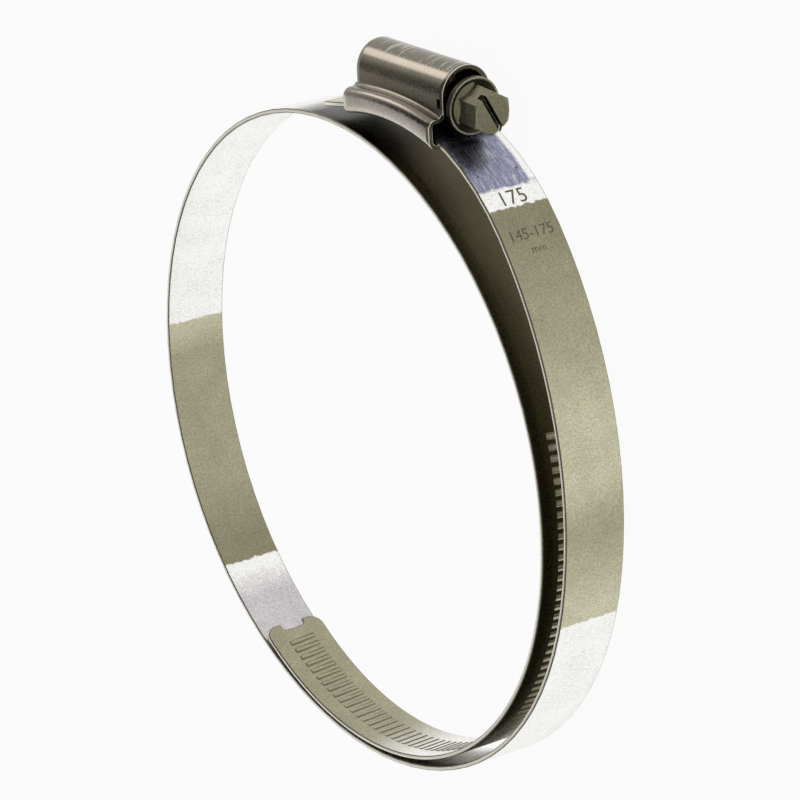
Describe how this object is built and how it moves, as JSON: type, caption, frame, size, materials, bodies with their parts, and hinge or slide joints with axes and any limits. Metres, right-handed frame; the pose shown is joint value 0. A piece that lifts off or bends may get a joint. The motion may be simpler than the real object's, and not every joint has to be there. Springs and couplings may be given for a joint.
{
  "type": "worm drive hose clamp",
  "caption": "Worm drive hose clamp: a coiled steel band with a pressed thread and a fish-tail tip, a rolled housing and a slotted hexagon screw that turns in it.",
  "frame": {"origin": "centre of the hose seat, at the middle of the band's width", "axes": "+Z along the ring's axis, +Y from the centre towards the housing, +X along the screw towards its head"},
  "size_m": [0.1268, 0.1342, 0.015],
  "materials": {
    "band_steel": "satin polish",
    "housing_steel": "bright polish",
    "screw_steel": "bright"
  },
  "bodies": {
    "clamp_body": {"band": "band_steel", "housing": "housing_steel"},
    "worm_screw": {"screw": "screw_steel"}
  },
  "joints": [
    {"name": "screw_spin", "type": "hinge", "parent": "clamp_body", "child": "worm_screw", "pos_m": [0.01851, 0.06942, 0], "axis": [0.9983, -0.0584, 0], "continuous": true}
  ]
}
